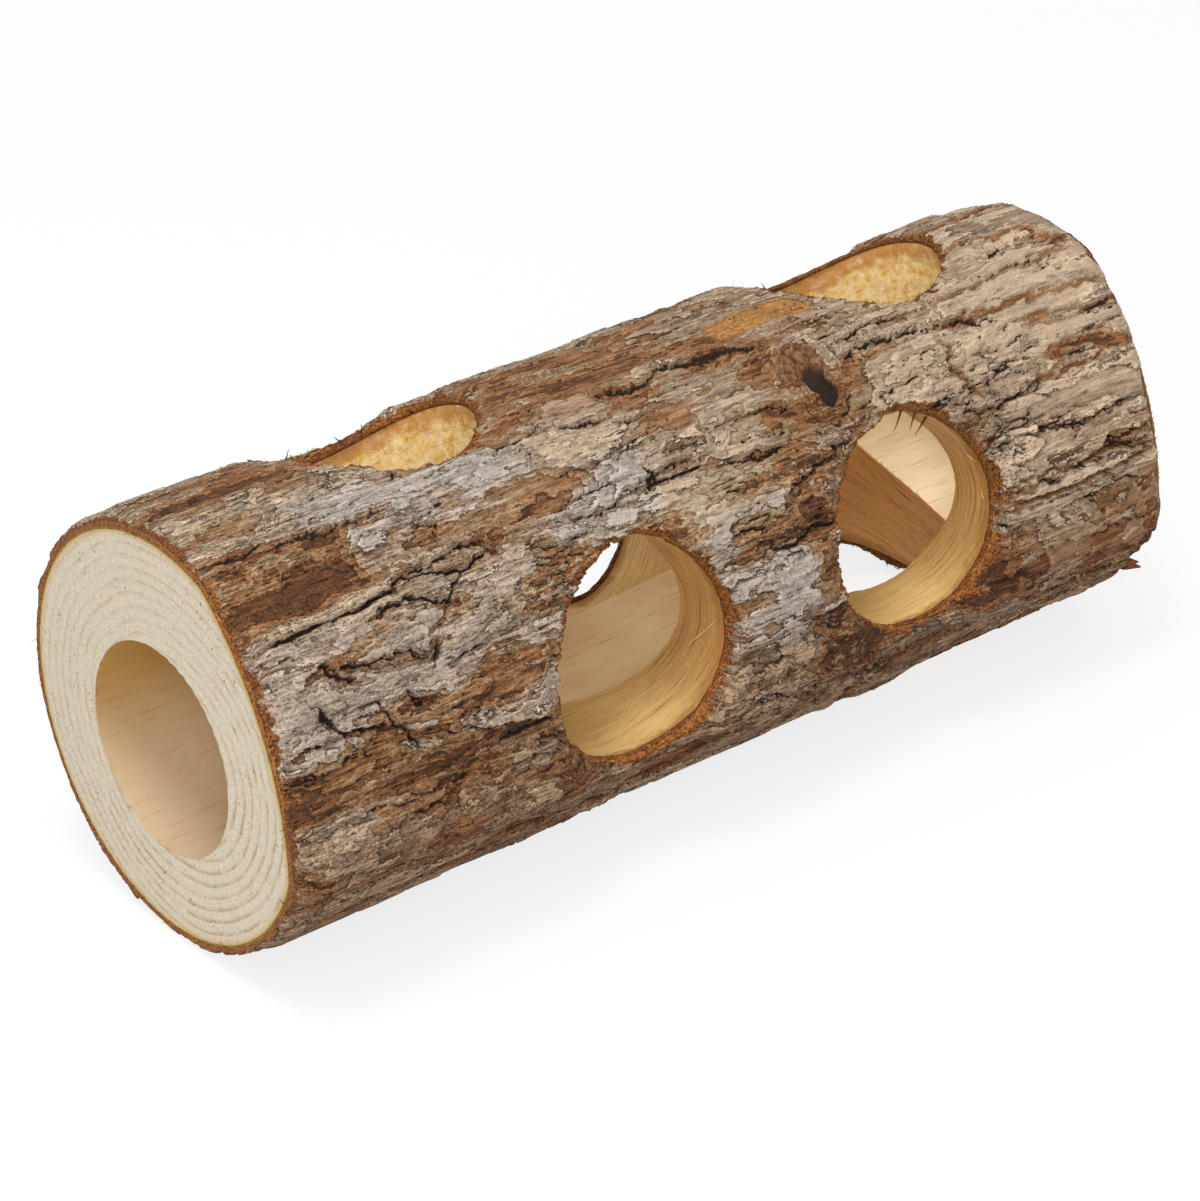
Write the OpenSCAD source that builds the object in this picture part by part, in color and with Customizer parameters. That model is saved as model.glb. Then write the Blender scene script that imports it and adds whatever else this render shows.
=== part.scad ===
// Bark hamster tunnel: a short length of natural log with its bark on, bored through lengthwise
// and drilled from the sides, so that a small pet can run in and out of it.
// Millimetres. X runs along the log, -Y is its front, +Z is up, and it lies on z = 0.
// Angles round the log start at the front and rise over the top: 90 is the top, 180 the back.

/* [Log] */
// Length between the sawn ends
log_length = 200; // [180:1:240]
// Radius of the bare wood on its round sides
wood_r = 36; // [34:0.1:40]
// Radius of the flatter side of the log
flat_r = 60; // [50:1:90]
// How far the flatter side lies inside the round
flat_cut = 4.5; // [0.5:0.1:5.5]
// Angle round the log that the flatter side faces
flat_angle = 25; // [10:1:40]

/* [Tunnel] */
// Radius of the lengthwise tunnel
bore_r = 19; // [15:0.1:19.5]
// Height of the tunnel's middle above the log's middle
bore_rise = -0.3; // [-1:0.1:1]
// How far the tunnel's middle lies towards the front
bore_forward = 2.5; // [0:0.1:3]
// Degrees that the tunnel swings to the front over its length
bore_swing = 1.9; // [0:0.1:2.5]
// Degrees that the tunnel climbs over its length
bore_climb = 1.25; // [0:0.05:2]

/* [Side holes] */
// Radius of every side hole
hole_r = 19.6; // [15:0.1:20]
// Place of the first front hole from the log's middle, as a share of its length
front_1_at = -0.13; // [-0.16:0.005:-0.1]
// Place of the second front hole
front_2_at = 0.19; // [0.17:0.005:0.21]
// Place of the first top hole
top_1_at = -0.245; // [-0.27:0.005:-0.22]
// Place of the second top hole
top_2_at = 0.285; // [0.26:0.005:0.3]
// Place of the back hole
back_at = 0.05; // [0.02:0.005:0.07]
// Place of the bottom hole
bottom_at = 0.26; // [0.24:0.005:0.28]
// Degrees that the bottom hole leans along the log
bottom_lean = 13; // [0:0.5:16]
// How far from the log's middle the drill of the back hole stopped, as a share of the tunnel's radius
back_stop = 0.64; // [0.5:0.02:0.7]
// How far from the log's middle the drill of the bottom hole stopped, in the same way
bottom_stop = 0.26; // [0:0.02:0.4]

/* [Inner bark] */
// Thickness of the fibrous inner bark
bast_t = 0.8; // [0.5:0.05:1.5]
// How far the inner bark is torn back from the holes and ends
bast_setback = 0.5; // [0.2:0.1:1]

/* [Bark scales] */
// Thickness of a scale on the round sides
scale_t = 1.7; // [1.2:0.05:2.5]
// Thickness of a scale on the flatter side
front_scale_t = 3.4; // [2.4:0.05:4]
// Thickness of the scales that the log lies on
keel_scale_t = 2.2; // [1.6:0.05:3]
// Most that one scale is thinner or thicker than its neighbours
scale_t_spread = 0.35; // [0:0.05:0.5]
// Width of the furrows between scales, at their foot
furrow = 1.0; // [0.6:0.1:1.6]
// How far the furrows jerk to either side
furrow_jag = 1.4; // [0:0.1:2]
// How far the furrows bend to either side
furrow_bend = 1.6; // [0:0.1:2]
// Step back from the edge of a scale to its upper layer
scale_step = 1.6; // [1:0.1:2.4]
// How far scales are broken back from the holes
rim_setback = 1.4; // [0.8:0.1:2.5]
// How far scales are broken back from the sawn ends
end_setback = 1.2; // [0.6:0.1:2.5]
// Depth worn off the scales that the log lies on
keel_wear = 0.4; // [0.2:0.05:0.8]

/* [Knot] */
// Place of the knot from the log's middle, as a share of its length
knot_at = 0.1275; // [0.11:0.0025:0.145]
// Angle of the knot round the log
knot_angle = 65; // [60:1:70]
// Radius of the dead branch where it leaves the wood
stub_r = 4.2; // [3:0.1:5]
// How deep the dead branch goes into the wood, as a share of the tunnel's wall
stub_sunk = 0.65; // [0.4:0.05:0.7]
// How far the dead branch stands above the inner bark
stub_rise = 1.4; // [0.6:0.1:2]
// Width of the collar round the dead branch
collar_w = 3.4; // [2.4:0.1:4]
// Height of the collar above the inner bark
collar_rise = 2.3; // [1.5:0.1:2.8]

/* [Hidden] */
$fn = 96;
// Room left between one layer of the log and the next
layer_gap = 0.05;
// Room round the dead branch and its collar
knot_gap = 0.3;
// Extra length of a cut beyond the faces that it goes through
past = 30;
// Share of a scale's thickness that its lower layer has
lower_layer = 0.55;
// Distance between the corners of a scale's long edges
edge_pitch = 9;
// Number of stretches in the broken end of a scale
end_stretches = 3;
// Length of one bend of a furrow
bend_length = 118;
// Most that a broken end is out of line
end_jag = 4;
// How far a broken end runs along the log from one side of its row to the other
end_slant = 9;
// Slope of a dead branch's side, as the share of its radius left at its foot
stub_taper = 0.7;
// Radius and depth of the rotted pit in the dead branch
pit_r = 0.55 * stub_r;
pit_depth = 4;

// Share of a hole's radius by which scales stop short of its middle, where it cuts right through their row
hole_break = 0.6;
// Place along the log where the leaning hole leaves the wood
bottom_out = bottom_at + tan(bottom_lean) * wood_r / log_length;
// Rows of scales: name, thickness of a scale there, and where the row is broken, as shares of the length.
// A break at a hole is marked true.
ROWS = [
    ["front", front_scale_t, [[-0.37], [front_1_at, true], [front_2_at, true]]],
    ["front_upper", front_scale_t, [[-0.31], [front_1_at, true], [front_2_at, true]]],
    ["shoulder", scale_t, [[-0.3], [-0.09], [knot_at]]],
    ["crown_front", scale_t, [[top_1_at, true], [0.025], [top_2_at, true]]],
    ["crown", scale_t, [[top_1_at, true], [-0.01], [top_2_at, true]]],
    ["crown_back", scale_t, [[-0.39], [-0.07], [0.12]]],
    ["back_upper", scale_t, [[-0.27], [back_at, true], [0.29]]],
    ["back", scale_t, [[-0.3], [back_at, true], [0.31]]],
    ["back_lower", scale_t, [[-0.24], [back_at, true], [0.27]]],
    ["keel_back", keel_scale_t, [[-0.29], [0.01], [bottom_out, true]]],
    ["keel", scale_t, [[-0.21], [0.05], [bottom_out, true]]],
    ["keel_front", keel_scale_t, [[-0.32], [0]]],
    ["belly", scale_t, [[-0.2], [0.13]]],
    ["front_lower", front_scale_t, [[-0.35], [front_1_at, true], [front_2_at, true]]]
];
row_pitch = 360 / len(ROWS);
// Angle of the middle of the first row
first_row = 10;

// Side holes: place along the log, angle, lean along the log, offset from the log's middle,
// and distance from it at which the flat-ended drill stopped
HOLES = [
    [front_1_at * log_length, 6.5, 0, 0, 0],
    [front_2_at * log_length, 11.5, 0, 0, 0],
    [top_1_at * log_length, 109, 0, 0, 0],
    [top_2_at * log_length, 105, 0, 0, 0],
    [back_at * log_length, 190, 0, 0, back_stop * bore_r],
    [bottom_at * log_length, 258, bottom_lean, 2.5, bottom_stop * bore_r]
];

foot = bast_t + 2 * layer_gap;
// Height of the log's middle when it lies on its worn scales
axis_z = wood_r + foot + scale_t - keel_wear;
flat_back = flat_r - wood_r + flat_cut;
collar_r = stub_r + knot_gap + collar_w;
knot_x = knot_at * log_length;
stub_depth = stub_sunk * (wood_r - bore_r);

function scale_name(row, k) = str("bark_", ROWS[row][0], "_", k + 1);
SCALES = [for (row = [0 : len(ROWS) - 1]) for (k = [0 : len(ROWS[row][2])]) [row, k]];

// A repeatable number from 0 to 1 for a pair of counts
function chance(a, b) = let (s = 437.585 * sin(127.1 * a + 311.7 * b + 74.7)) s - floor(s);

function mix(a, b, share) = a + (b - a) * share;

// Distance from the log's middle to the foot of the scales, at an angle round the log
function foot_r(angle) =
    let (turn = angle - flat_angle)
    let (across = flat_back * sin(turn))
    let (flat_side = sqrt(pow(flat_r + foot, 2) - pow(across, 2)) - flat_back * cos(turn))
    min(wood_r + foot, flat_side);

// Angle of the furrow below a row at a place along the log, in straight stretches
function furrow_angle(row, x) =
    let (i = floor(x / edge_pitch))
    let (own_row = row % len(ROWS))
    let (jerk = 2 * mix(chance(i, own_row), chance(i + 1, own_row), x / edge_pitch - i) - 1)
    let (bend = sin(360 * (x / bend_length + chance(own_row, 90))))
    let (sway = furrow_jag * jerk + furrow_bend * bend)
    first_row + (row - 0.5) * row_pitch + sway / wood_r * 180 / PI;

// Place of a row's break number k at a share of the row's width, where 0 and the last are the sawn ends.
// Side is 1 for the scale that starts there and -1 for the one that stops there.
function break_x(row, k, share, side) =
    let (breaks = ROWS[row][2])
    let (jag = chance(row + 10 * share, 40 + k))
    let (slope = chance(row, 70 + k) > 0.5 ? 1 : -1)
    k == 0 ? -log_length / 2 + end_setback * (0.5 + jag) - furrow / 2
    : k > len(breaks) ? log_length / 2 - end_setback * (0.5 + jag) + furrow / 2
    : let (middle = breaks[k - 1][0] * log_length + end_jag * (jag - 0.5))
    breaks[k - 1][1] == true ? middle + side * hole_break * hole_r
    : middle + end_slant * (share - 0.5) * slope;

// A corner of a scale in its own tangent plane: along the log, and across it
function corner(row, x, share, inset) =
    let (middle = first_row + row * row_pitch)
    let (angle = mix(furrow_angle(row, x), furrow_angle(row + 1, x), share))
    let (side = share == 0 ? 1 : share == 1 ? -1 : 0)
    [x, foot_r(angle) * sin(angle - middle) + side * inset];

// Corners along one long edge of a scale, from its low end to its high end
function long_edge(row, k, share, inset) =
    let (low = break_x(row, k, share, 1) + inset)
    let (high = break_x(row, k + 1, share, -1) - inset)
    let (first = ceil(low / edge_pitch + 0.2))
    let (last = floor(high / edge_pitch - 0.2))
    concat(
        [corner(row, low, share, inset)],
        [for (i = [first : 1 : last]) corner(row, i * edge_pitch, share, inset)],
        [corner(row, high, share, inset)]
    );

// Corners inside one broken end of a scale
function broken_end(row, k, inset) = [
    for (i = [1 : end_stretches - 1])
        let (share = i / end_stretches)
        corner(row, break_x(row, k, share, sign(inset)) + inset, share, abs(inset))
];

function backwards(list) = [for (i = [len(list) - 1 : -1 : 0]) list[i]];

// Outline of a scale, with every side moved in by inset
function scale_outline(row, k, inset) = concat(
    long_edge(row, k, 0, inset),
    broken_end(row, k + 1, -inset),
    backwards(long_edge(row, k, 1, inset)),
    backwards(broken_end(row, k, inset))
);

// Turns a shape built up from the middle so that its +Z points out of the log at an angle
module at_angle(angle) {
    rotate([90 - angle, 0, 0])
        children();
}

// Lays what is built round the log's middle on the ground
module laid() {
    translate([0, 0, axis_z])
        children();
}

module rod(r, length) {
    rotate([0, 90, 0])
        cylinder(r = r, h = length, center = true);
}

// The log out to a distance from the face of the wood
module log_body(grow, length) {
    intersection() {
        rod(wood_r + grow, length);
        at_angle(flat_angle)
            translate([0, 0, -flat_back])
                rod(flat_r + grow, length);
    }
}

module tunnel() {
    translate([0, -bore_forward, bore_rise])
        rotate([0, -bore_climb, -bore_swing])
            rod(bore_r, log_length + past);
}

// The side holes, wider by setback
module side_holes(setback) {
    for (h = HOLES)
        at_angle(h[1])
            translate([h[0], h[3], 0])
                rotate([0, h[2], 0])
                    translate([0, 0, h[4]])
                        cylinder(r = hole_r + setback, h = wood_r + past);
}

module at_knot() {
    at_angle(knot_angle)
        translate([knot_x, 0, foot_r(knot_angle)])
            children();
}

// The dead branch's own cone, wider by room all round
module stub_cone(room) {
    translate([0, 0, -stub_depth - foot - room])
        cylinder(
            r1 = stub_taper * stub_r + room,
            r2 = stub_r + room,
            h = stub_depth + foot + stub_rise + room
        );
}

// One layer of a scale, from the foot of the scales up to its top
module scale_layer(row, k, inset, top) {
    intersection() {
        difference() {
            log_body(foot + top, log_length);
            log_body(foot, log_length + past);
        }
        at_angle(first_row + row * row_pitch)
            translate([0, 0, wood_r / 2])
                linear_extrude(height = wood_r)
                    polygon(scale_outline(row, k, inset));
    }
}

module wood_core() {
    color("wheat")
        laid()
            difference() {
                log_body(0, log_length);
                tunnel();
                side_holes(0);
                at_knot() stub_cone(layer_gap);
            }
}

module inner_bark() {
    color("sienna")
        laid()
            difference() {
                log_body(layer_gap + bast_t, log_length - 2 * bast_setback);
                log_body(layer_gap, log_length + past);
                side_holes(bast_setback);
                at_knot() stub_cone(knot_gap);
            }
}

module knot_stub() {
    color("saddlebrown")
        laid()
            at_knot()
                difference() {
                    stub_cone(0);
                    translate([0, 0, stub_rise - pit_depth])
                        cylinder(r1 = 0.3 * pit_r, r2 = pit_r, h = pit_depth + layer_gap);
                }
}

module knot_collar() {
    inside = stub_r + knot_gap;
    color("dimgray")
        laid()
            difference() {
                at_knot()
                    rotate_extrude()
                        polygon([
                            [inside, -foot],
                            [collar_r, -foot],
                            [collar_r, 0.1 * collar_rise],
                            [inside + 0.8 * collar_w, 0.6 * collar_rise],
                            [inside + 0.5 * collar_w, 0.95 * collar_rise],
                            [inside + 0.2 * collar_w, collar_rise],
                            [inside, 0.8 * collar_rise]
                        ]);
                log_body(foot, log_length);
            }
}

module bark_scale(row, k) {
    thickness = ROWS[row][1] + 2 * scale_t_spread * (chance(row, k) - 0.5);
    color("rosybrown")
        difference() {
            laid()
                difference() {
                    union() {
                        scale_layer(row, k, furrow / 2, lower_layer * thickness);
                        scale_layer(row, k, furrow / 2 + scale_step, thickness);
                    }
                    side_holes(rim_setback);
                    at_knot() cylinder(r = collar_r + knot_gap, h = past, center = true);
                }
            translate([0, 0, -wood_r])
                cube([log_length + past, wood_r + past, 2 * wood_r], center = true);
        }
}

wood_core();
inner_bark();
knot_stub();
knot_collar();
for (s = SCALES)
    bark_scale(s[0], s[1]);
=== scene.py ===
"""Looks of a bark hamster tunnel: a short log with scaly bark, bored lengthwise and drilled from the sides.

Shapes are worked out in millimetres in the frame's own axes and scaled to metres when a mesh is made.
Angles round the log start at the front and rise over the top, as in the model underneath.
"""

import math

import bpy
import numpy as np
from mathutils import Matrix, Vector
from mathutils.bvhtree import BVHTree


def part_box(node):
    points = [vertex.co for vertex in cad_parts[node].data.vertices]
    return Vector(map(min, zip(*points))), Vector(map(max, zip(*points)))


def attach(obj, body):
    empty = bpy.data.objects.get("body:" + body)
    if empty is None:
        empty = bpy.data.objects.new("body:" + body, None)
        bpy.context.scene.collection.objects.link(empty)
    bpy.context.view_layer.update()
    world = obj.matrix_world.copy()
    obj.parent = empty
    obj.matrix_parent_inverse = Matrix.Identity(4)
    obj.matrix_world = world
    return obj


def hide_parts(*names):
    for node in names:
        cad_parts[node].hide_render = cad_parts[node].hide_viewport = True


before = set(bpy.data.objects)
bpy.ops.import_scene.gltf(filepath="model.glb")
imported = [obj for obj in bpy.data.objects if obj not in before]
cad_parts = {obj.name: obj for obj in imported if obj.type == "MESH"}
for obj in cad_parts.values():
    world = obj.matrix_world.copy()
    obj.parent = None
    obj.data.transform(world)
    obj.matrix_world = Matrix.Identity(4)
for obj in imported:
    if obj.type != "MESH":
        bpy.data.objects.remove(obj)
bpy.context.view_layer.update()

MM = 0.001
CELL = 0.3

# The log under the bark
CORE_LOW, CORE_HIGH = (np.array(corner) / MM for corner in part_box("wood_core"))
HALF = (CORE_HIGH[0] - CORE_LOW[0]) / 2
WOOD_R = (CORE_HIGH[2] - CORE_LOW[2]) / 2
AXIS_Z = (CORE_HIGH[2] + CORE_LOW[2]) / 2
FLAT_R = 60.0
FLAT_BACK = 28.5
FLAT_ANGLE = math.radians(25)
BORE_R = 19.0
BORE_MIDDLE = np.array([0, -2.5, AXIS_Z - 0.3])
BORE_AXIS = np.array([0.99921, -0.03315, 0.02181])
HOLE_R = 19.6
# Side holes: place along the log, angle, lean along the log, offset from its middle,
# and distance from it at which the flat-ended drill stopped
HOLES = {
    "front_1": (-26, 6.5, 0, 0, 0),
    "front_2": (38, 11.5, 0, 0, 0),
    "top_1": (-49, 109, 0, 0, 0),
    "top_2": (57, 105, 0, 0, 0),
    "back": (10, 190, 0, 0, 12.16),
    "bottom": (52, 258, 13, 2.5, 4.94),
}
BAST = 0.85
FOOT = 0.9
KNOT_X = 25.5
KNOT_ANGLE = math.radians(65)
# Radius at which places on the bark are measured round the log
ROUND_R = 37.0
ROUND = 2 * math.pi * ROUND_R


# Noise


def chance(key, seed):
    """Repeatable numbers from 0 to 1 for whole-number keys."""
    h = (key.astype(np.int64) * 374761393 + seed * 668265263) & 0xFFFFFFFF
    h = ((h ^ (h >> 13)) * 1274126177) & 0xFFFFFFFF
    h = ((h ^ (h >> 15)) * 2246822519) & 0xFFFFFFFF
    return ((h ^ (h >> 16)) & 0xFFFFFF).astype(np.float32) / 0xFFFFFF


def smooth(low, high, value):
    t = np.clip((value - low) / (high - low), 0, 1)
    return t * t * (3 - 2 * t)


def noise(p, q, r, seed):
    """Smooth noise from -1 to 1 at points in space."""
    total = 0
    whole = [np.floor(c).astype(np.int64) for c in (p, q, r)]
    part = [(c - w).astype(np.float32) for c, w in zip((p, q, r), whole)]
    ease = [t * t * t * (t * (t * 6 - 15) + 10) for t in part]
    for corner in range(8):
        step = (corner & 1, corner >> 1 & 1, corner >> 2)
        share = 1
        for e, s in zip(ease, step):
            share = share * (e if s else 1 - e)
        key = sum((w + s) * m for w, s, m in zip(whole, step, (1, 7919, 611953)))
        total = total + share * chance(key, seed)
    return 2 * total - 1


def fbm(x, angle, long, across, seed, octaves=3, rough=0.5):
    """Noise on the log's skin, with features of a length along it and a width round it."""
    total, size, weight = 0, 1.0, 1.0
    y, z = np.cos(angle) * ROUND_R, np.sin(angle) * ROUND_R
    for octave in range(octaves):
        layer = noise(x / long * size, y / across * size, z / across * size, seed + 17 * octave)
        total = total + weight * layer
        size *= 2.03
        weight *= rough
    return total * (1 - rough) / (1 - rough**octaves) * 1.6


# The log's own shape


def body_r(angle, grow=0.0):
    """Distance from the log's middle to its wood, or to a layer that lies grow outside it."""
    turn = angle - FLAT_ANGLE
    flat = np.sqrt((FLAT_R + grow) ** 2 - (FLAT_BACK * np.sin(turn)) ** 2) - FLAT_BACK * np.cos(turn)
    return np.minimum(WOOD_R + grow, flat)


def outward(angle):
    zero = np.zeros_like(angle)
    return np.stack([zero, -np.cos(angle), np.sin(angle)], -1)


def place(x, angle, height):
    """Points on the log at a height above its wood, worn flat where they would be under the ground."""
    r = body_r(angle) + height
    z = AXIS_Z + r * np.sin(angle)
    return np.stack([x, -r * np.cos(angle), np.maximum(z, 0.02)], -1)


def hole_axis(name):
    """Where the drill of a hole stopped, and the way out from there."""
    x, degrees, lean, offset, stop = HOLES[name]
    angle, tilt = math.radians(degrees), math.radians(lean)
    out = np.array([0, -math.cos(angle), math.sin(angle)])
    round_way = np.array([0, math.sin(angle), math.cos(angle)])
    start = np.array([x, 0, AXIS_Z]) + offset * round_way
    way = math.sin(tilt) * np.array([1, 0, 0]) + math.cos(tilt) * out
    return start + stop * way, way


def polar(points):
    """Angles of points round the log, and their distances from its middle."""
    y, z = points[:, 1], points[:, 2] - AXIS_Z
    return np.arctan2(z, -y), np.hypot(y, z)


def from_axis(points, start, way):
    """Distance of points from a line, how far along it they are, and the way off it."""
    along = (points - start) @ way
    off = points - start - along[..., None] * way
    far = np.linalg.norm(off, axis=-1)
    return far, along, off / np.maximum(far, 1)[..., None]


def from_holes(points):
    """How far points are outside the nearest side hole, below 0 inside it, and the way to its axis."""
    nearest = np.full(points.shape[:-1], 99.0)
    into = np.zeros(points.shape)
    for name in HOLES:
        far, along, off = from_axis(points, *hole_axis(name))
        closer = (along > 0) & (far - HOLE_R < nearest)
        nearest = np.where(closer, far - HOLE_R, nearest)
        into = np.where(closer[..., None], -off, into)
    return nearest, into


# Making meshes


def make_mesh(name, verts, quads, tris=None):
    """A smooth-shaded mesh from points in millimetres."""
    mesh = bpy.data.meshes.new(name)
    quads = np.asarray(quads, np.int32).reshape(-1, 4)
    tris = np.zeros((0, 3), np.int32) if tris is None else np.asarray(tris, np.int32).reshape(-1, 3)
    loops = np.concatenate([quads.ravel(), tris.ravel()])
    starts = np.concatenate([np.arange(len(quads)) * 4, len(quads) * 4 + np.arange(len(tris)) * 3])
    mesh.vertices.add(len(verts))
    mesh.vertices.foreach_set("co", (np.asarray(verts, np.float32) * MM).ravel())
    mesh.loops.add(len(loops))
    mesh.loops.foreach_set("vertex_index", loops.astype(np.int32))
    mesh.polygons.add(len(starts))
    mesh.polygons.foreach_set("loop_start", starts.astype(np.int32))
    mesh.polygons.foreach_set("use_smooth", np.ones(len(starts), bool))
    mesh.update(calc_edges=True)
    mesh.validate()
    return mesh


def add_mask(mesh, name, values):
    layer = mesh.attributes.new(name, "FLOAT", "POINT")
    layer.data.foreach_set("value", np.asarray(values, np.float32).ravel())


def add_object(name, data):
    made = bpy.data.objects.new(name, data)
    bpy.context.scene.collection.objects.link(made)
    return made


def add_piece(mesh, slot, node):
    """A piece of the part, which takes the place of a node of the frame."""
    piece = add_object(mesh.name, mesh)
    mesh.materials.append(MATERIALS[slot])
    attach(piece, "root")
    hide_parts(node)


# The skin of the log as a grid: rows go round it, columns along it

COLUMNS = round(2 * HALF / CELL) + 1
ROWS = round(ROUND / CELL)
STEP_X = 2 * HALF / (COLUMNS - 1)
STEP_S = ROUND / ROWS
GRID_X, GRID_A = np.meshgrid(
    np.linspace(-HALF, HALF, COLUMNS), np.arange(ROWS) * 2 * math.pi / ROWS
)
SCALE_REACH = 14.0
RAY_LENGTH = 17.0


def node_map(x, angle, names):
    """Which of the named nodes lies outermost at places on the skin, or -1, and how far out it is."""
    verts, faces, owner = [], [], []
    for number, name in enumerate(names):
        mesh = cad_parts[name].data
        start = len(verts)
        verts += [v.co / MM for v in mesh.vertices]
        for polygon in mesh.polygons:
            faces.append([start + i for i in polygon.vertices])
            owner.append(number)
    tree = BVHTree.FromPolygons(verts, faces)
    label = np.full(x.size, -1, np.int32)
    height = np.zeros(x.size, np.float32)
    far = WOOD_R + SCALE_REACH
    ways = outward(angle).reshape(-1, 3)
    starts = np.array([0, 0, AXIS_Z]) + ways * far
    starts[:, 0] = x.ravel()
    for i, (start, way) in enumerate(zip(starts.tolist(), (-ways).tolist())):
        hit = tree.ray_cast(start, way, RAY_LENGTH)
        if hit[2] is not None:
            label[i] = owner[hit[2]]
            height[i] = far - hit[3]
    return label.reshape(x.shape), height.reshape(x.shape)


def shifted(values, rows, columns, fill):
    """The grid moved by rows, which go on round the log, or by a column, which leaves fill behind."""
    moved = np.roll(values, (rows, columns), (0, 1))
    if columns:
        moved[:, 0 if columns > 0 else -1] = fill
    return moved


def spread(label, open_to, steps):
    """Grows labels into the unlabelled places where open_to is true."""
    for _ in range(steps):
        for rows, columns in ((1, 0), (-1, 0), (0, 1), (0, -1)):
            moved = shifted(label, rows, columns, -1)
            label = np.where((label < 0) & open_to & (moved >= 0), moved, label)
    return label


def distance(zero, limit):
    """Distance in millimetres from the places where zero is true, up to a limit."""
    far = np.where(zero, 0, limit).astype(np.float32)
    ways = [(rows, columns) for rows in (-1, 0, 1) for columns in (-1, 0, 1) if rows or columns]
    for _ in range(int(limit / CELL) + 1):
        for rows, columns in ways:
            step = math.hypot(rows * STEP_S, columns * STEP_X)
            far = np.minimum(far, shifted(far, rows, columns, limit) + step)
    return far


def region(x_low, x_high, low_degrees, high_degrees, soft=3.0):
    """1 inside a patch of the skin, falling to 0 past its sides."""
    middle = math.radians(low_degrees + high_degrees) / 2
    half = math.radians(high_degrees - low_degrees) / 2
    turn = np.abs(np.mod(GRID_A - middle + math.pi, 2 * math.pi) - math.pi)
    outside_x = np.maximum(x_low - GRID_X, GRID_X - x_high)
    outside_s = (turn - half) * ROUND_R
    wobble = 1.5 * SLOW
    return smooth(soft, -soft, outside_x + wobble) * smooth(soft * 0.7, -soft * 0.7, outside_s + wobble)


def patches(*places):
    """Several patches of the skin, each with its strength before its sides."""
    return np.maximum.reduce([share * region(*sides) for share, *sides in places])


def grown(long, across, seed, octaves=3, rough=0.5):
    """Noise on the grid of the skin."""
    return fbm(GRID_X, GRID_A, long, across, seed, octaves, rough)


SLOW = grown(14, 7, 3)
FROM_HOLE, INTO_HOLE = from_holes(place(GRID_X, GRID_A, 2.0))
FROM_END = HALF - np.abs(GRID_X)

# Which scale each cell of the grid belongs to, with borders roughened
NAMES = sorted(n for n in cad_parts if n.startswith("bark_")) + ["knot_collar", "knot_stub"]
BARK_OVER_HOLE = 2.6
border_x = 1.3 * grown(3.5, 2.2, 11) + 0.5 * grown(1.0, 0.8, 12, 2)
border_s = 0.7 * grown(4.5, 2.0, 13) + 0.35 * grown(1.1, 0.8, 14, 2)
near_knot = np.hypot(GRID_X - KNOT_X, (GRID_A - KNOT_ANGLE) * ROUND_R)
off_knot = smooth(7, 11, near_knot)
owner, cad_r = node_map(GRID_X + border_x * off_knot, GRID_A + border_s * off_knot / ROUND_R, NAMES)
cad_height = np.where(owner >= 0, cad_r - body_r(GRID_A), 0)
solid = FROM_HOLE > -BARK_OVER_HOLE
owner = spread(owner, solid, int(9 / CELL))
owner = np.where(solid, owner, -1)
thickness = np.zeros(len(NAMES))
for number in range(len(NAMES)):
    mine = cad_height[owner == number]
    thickness[number] = np.percentile(mine[mine > 0], 90) - FOOT if (mine > 0).any() else 1.5


def blur(values, width_x, width_s):
    """A soft average over a width along the log and a width round it, in millimetres."""
    for axis, width, step in ((1, width_x, STEP_X), (0, width_s, STEP_S)):
        count = max(1, round(width / step))
        pad = [(0, 0), (0, 0)]
        pad[axis] = (count, count)
        wide = np.pad(values, pad, mode="wrap" if axis == 0 else "edge")
        total = np.cumsum(wide, axis=axis)
        high = np.take(total, range(2 * count, 2 * count + values.shape[axis]), axis=axis)
        low = np.take(total, range(0, values.shape[axis]), axis=axis)
        values = (high - low) / (2 * count)
    return values


# Fields of the bark
bulk = blur(blur(np.where(owner >= 0, thickness[owner], 1.7), 6, 4), 6, 4)
border = owner != np.roll(owner, 1, 0)
border[:, 1:] |= owner[:, 1:] != owner[:, :-1]
FROM_CRACK = distance(border, 4.0)


def slopes(field, step=1):
    """Slopes of a field along the log and round it. The field has every step-th point of the grid."""
    slope_s = (np.roll(field, -1, 0) - np.roll(field, 1, 0)) / (2 * STEP_S * step)
    return np.gradient(field, axis=1) / (STEP_X * step), slope_s


def line(field, width):
    """1 along the places where a field passes through 0, as lines of a width in millimetres."""
    return smooth(width, width * 0.2, np.abs(field) / np.maximum(np.hypot(*slopes(field)), 0.03))


fibre = fbm(GRID_X + 2 * SLOW, GRID_A, 9, 0.8, 31, 3, 0.6)
jag_x = GRID_X + 2.2 * grown(15, 6, 21) + 1.2 * grown(2.2, 1.2, 22)
jag_a = GRID_A + (1.1 * grown(17, 6, 23) + 0.7 * grown(2.4, 1.1, 24)) / ROUND_R


def jagged(long, across, seed, octaves=2):
    """Noise on the skin that runs along its bent and ragged grain."""
    return fbm(jag_x, jag_a, long, across, seed, octaves)


# The grain of the bark bends round the knot
knot_s = (GRID_A - KNOT_ANGLE) * ROUND_R
bend = 0.75 * np.exp(-((near_knot / 9.5) ** 2))
jag_a = jag_a - knot_s * bend / ROUND_R
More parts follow.
